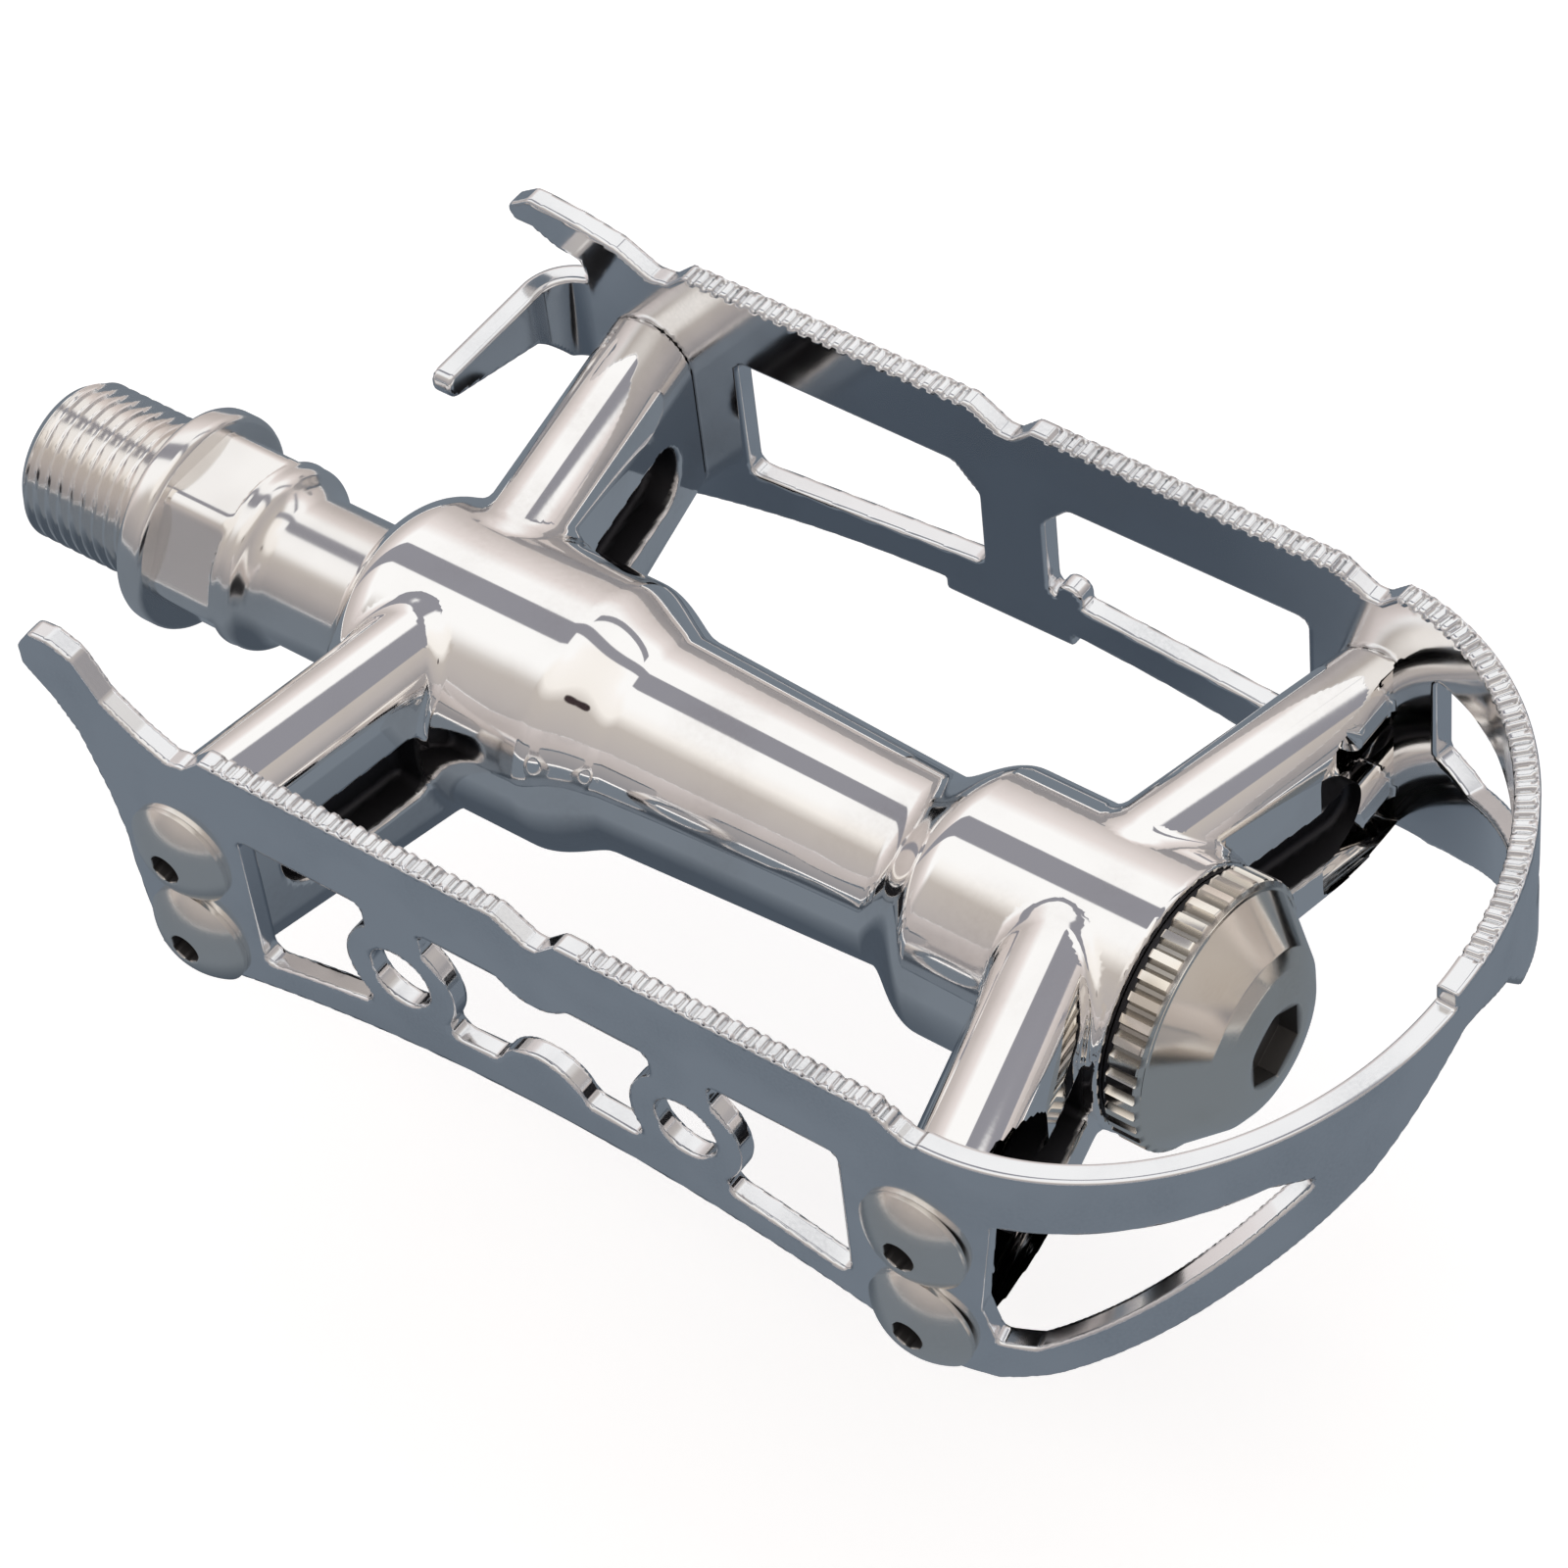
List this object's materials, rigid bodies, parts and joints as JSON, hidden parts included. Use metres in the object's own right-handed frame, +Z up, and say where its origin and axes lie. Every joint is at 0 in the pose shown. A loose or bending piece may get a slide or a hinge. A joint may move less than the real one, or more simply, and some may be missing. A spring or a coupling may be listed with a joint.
{
  "type": "bicycle pedal",
  "caption": "Polished road bicycle pedal: threaded spindle, slim barrel body with four arms, and a serrated quill cage round a knurled dust cap.",
  "frame": {"origin": "on the spindle's axis, at the flange face that seats on the crank arm", "axes": "X along the spindle, with the thread at -X and the dust cap at +X; Z up, towards the cage's serrated edge; the plate with the toe clip holes at -Y"},
  "size_m": [0.136, 0.0682, 0.035],
  "materials": {
    "spindle_steel": "satin polished hardened steel",
    "body_alloy": "polished forged aluminium",
    "cage_steel": "polished chromed steel strip",
    "screw_steel": "satin nickel-plated steel",
    "bearing_steel": "ground hardened steel",
    "ball_steel": "polished bearing steel",
    "cap_alloy": "satin machined aluminium",
    "seal_rubber": "black nitrile rubber"
  },
  "bodies": {
    "spindle_group": {"spindle": "spindle_steel", "bearing_cone": "bearing_steel", "keyed_washer": "bearing_steel", "locknut": "bearing_steel"},
    "pedal_group": {"body": "body_alloy", "cage": "cage_steel", "dust_ring": "screw_steel", "inboard_cup": "bearing_steel", "outboard_cup": "bearing_steel", "dust_cap": "cap_alloy", "cap_seal_ring": "seal_rubber", "screw_front_inboard_upper": "screw_steel", "screw_front_inboard_lower": "screw_steel", "screw_front_outboard_upper": "screw_steel", "screw_front_outboard_lower": "screw_steel", "screw_rear_inboard_upper": "screw_steel", "screw_rear_inboard_lower": "screw_steel", "screw_rear_outboard_upper": "screw_steel", "screw_rear_outboard_lower": "screw_steel"},
    "inboard_ball_row": {"inboard_balls": "ball_steel"},
    "outboard_ball_row": {"outboard_balls": "ball_steel"}
  },
  "joints": [
    {"name": "pedal_turn", "type": "hinge", "parent": "spindle_group", "child": "pedal_group", "pos_m": [0, 0, 0], "axis": [1, 0, 0], "continuous": true},
    {"name": "inboard_ball_turn", "type": "hinge", "parent": "spindle_group", "child": "inboard_ball_row", "pos_m": [0.0275, 0, 0], "axis": [1, 0, 0], "continuous": true},
    {"name": "outboard_ball_turn", "type": "hinge", "parent": "spindle_group", "child": "outboard_ball_row", "pos_m": [0.086, 0, 0], "axis": [1, 0, 0], "continuous": true}
  ],
  "couplings": [
    {"joint": "inboard_ball_turn", "follows": "pedal_turn", "ratio": 0.584},
    {"joint": "outboard_ball_turn", "follows": "pedal_turn", "ratio": 0.591}
  ]
}
